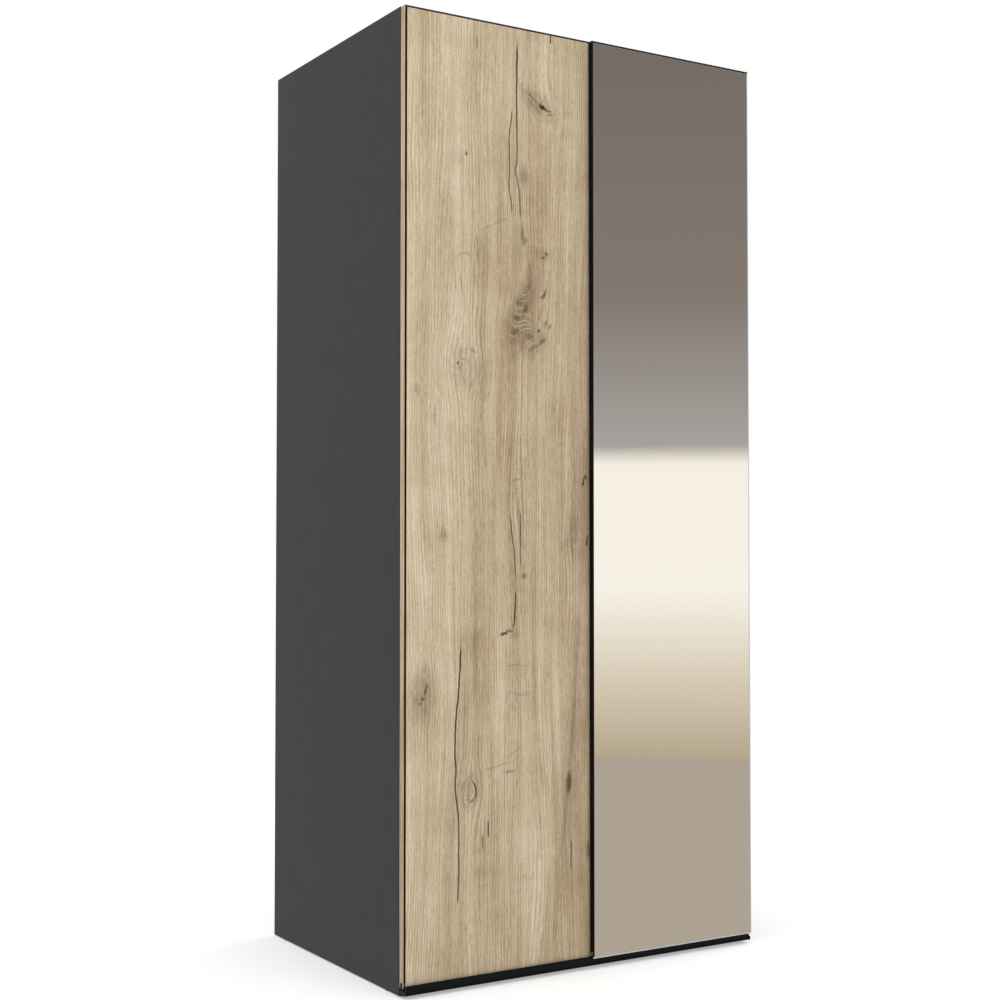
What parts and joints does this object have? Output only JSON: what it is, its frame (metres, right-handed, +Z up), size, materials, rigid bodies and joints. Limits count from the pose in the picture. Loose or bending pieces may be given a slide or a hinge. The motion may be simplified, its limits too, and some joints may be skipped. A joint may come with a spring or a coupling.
{
  "type": "sliding door wardrobe",
  "caption": "Tall wardrobe with an oak-finish door and a mirrored door that hang on rollers and slide past each other in front of a dark carcass with shelves and a rail.",
  "frame": {"origin": "middle of the footprint on the floor, doors included", "axes": "+Z up along the height, +X along the width towards the mirror door, -Y towards the doors (front)"},
  "size_m": [0.962, 0.6918, 2.1605],
  "materials": {
    "graphite": "matte graphite melamine on chipboard",
    "oak_decor": "rustic oak decor foil, fine matte grain",
    "hardboard": "matte graphite lacquered hardboard",
    "chipboard": "dark faced chipboard",
    "black_anodised": "black anodised, satin",
    "black_plastic": "matte black",
    "aluminium": "satin silver anodised",
    "steel": "zinc plated",
    "mirror": "silvered float glass, polished",
    "nylon": "natural moulded",
    "rubber": "matte black"
  },
  "bodies": {
    "carcass": {"side_panel_left": "graphite", "side_panel_right": "graphite", "centre_partition": "graphite", "top_panel": "graphite", "bottom_panel": "graphite", "plinth_front": "black_plastic", "plinth_rear": "graphite", "back_panel_left": "hardboard", "back_panel_right": "hardboard", "back_panel_joiner": "black_plastic", "shelf_1": "graphite", "shelf_2": "graphite", "shelf_3": "graphite", "shelf_4": "graphite", "hat_shelf": "graphite", "clothes_rail": "steel", "rail_socket_left": "nylon", "rail_socket_right": "nylon", "floor_glide_front_left": "nylon", "floor_glide_front_right": "nylon", "floor_glide_rear_left": "nylon", "floor_glide_rear_right": "nylon", "top_track": "aluminium", "track_stop_left": "black_plastic", "track_stop_right": "black_plastic", "stop_buffer_left": "rubber", "stop_buffer_right": "rubber", "bottom_guide_rail": "black_anodised"},
    "oak_door": {"oak_board": "oak_decor", "oak_inlay_strip": "black_anodised", "oak_top_trim": "black_anodised", "oak_bottom_channel": "black_anodised", "oak_hanger_left": "steel", "oak_hanger_right": "steel", "oak_axle_left": "steel", "oak_axle_right": "steel", "oak_guide_shoe_left": "nylon", "oak_guide_shoe_right": "nylon"},
    "mirror_door": {"mirror_board": "chipboard", "mirror_glass": "mirror", "mirror_grip_profile": "black_anodised", "mirror_edge_trim": "aluminium", "mirror_top_trim": "black_anodised", "mirror_bottom_channel": "aluminium", "mirror_hanger_left": "steel", "mirror_hanger_right": "steel", "mirror_axle_left": "steel", "mirror_axle_right": "steel", "mirror_guide_shoe_left": "nylon", "mirror_guide_shoe_right": "nylon"},
    "oak_roller_left": {"oak_roller_left": "nylon"},
    "oak_roller_right": {"oak_roller_right": "nylon"},
    "mirror_roller_left": {"mirror_roller_left": "nylon"},
    "mirror_roller_right": {"mirror_roller_right": "nylon"}
  },
  "joints": [
    {"name": "oak_door_slide", "type": "slide", "parent": "carcass", "child": "oak_door", "axis": [1, 0, 0], "range_m": [0, 0.462]},
    {"name": "mirror_door_slide", "type": "slide", "parent": "carcass", "child": "mirror_door", "axis": [1, 0, 0], "range_m": [-0.486, 0]},
    {"name": "oak_roller_left_spin", "type": "hinge", "parent": "oak_door", "child": "oak_roller_left", "pos_m": [-0.416, -0.30062, 2.1305], "axis": [0, 1, 0], "range_deg": [0, 2208]},
    {"name": "oak_roller_right_spin", "type": "hinge", "parent": "oak_door", "child": "oak_roller_right", "pos_m": [-0.046, -0.30062, 2.1305], "axis": [0, 1, 0], "range_deg": [0, 2208]},
    {"name": "mirror_roller_left_spin", "type": "hinge", "parent": "mirror_door", "child": "mirror_roller_left", "pos_m": [0.07, -0.28063, 2.1305], "axis": [0, 1, 0], "range_deg": [-2323, 0]},
    {"name": "mirror_roller_right_spin", "type": "hinge", "parent": "mirror_door", "child": "mirror_roller_right", "pos_m": [0.416, -0.28063, 2.1305], "axis": [0, 1, 0], "range_deg": [-2323, 0]}
  ],
  "couplings": [
    {"joint": "oak_roller_left_spin", "follows": "oak_door_slide", "rad_per_m": 83.333},
    {"joint": "oak_roller_right_spin", "follows": "oak_door_slide", "rad_per_m": 83.333},
    {"joint": "mirror_roller_left_spin", "follows": "mirror_door_slide", "rad_per_m": 83.333},
    {"joint": "mirror_roller_right_spin", "follows": "mirror_door_slide", "rad_per_m": 83.333}
  ]
}
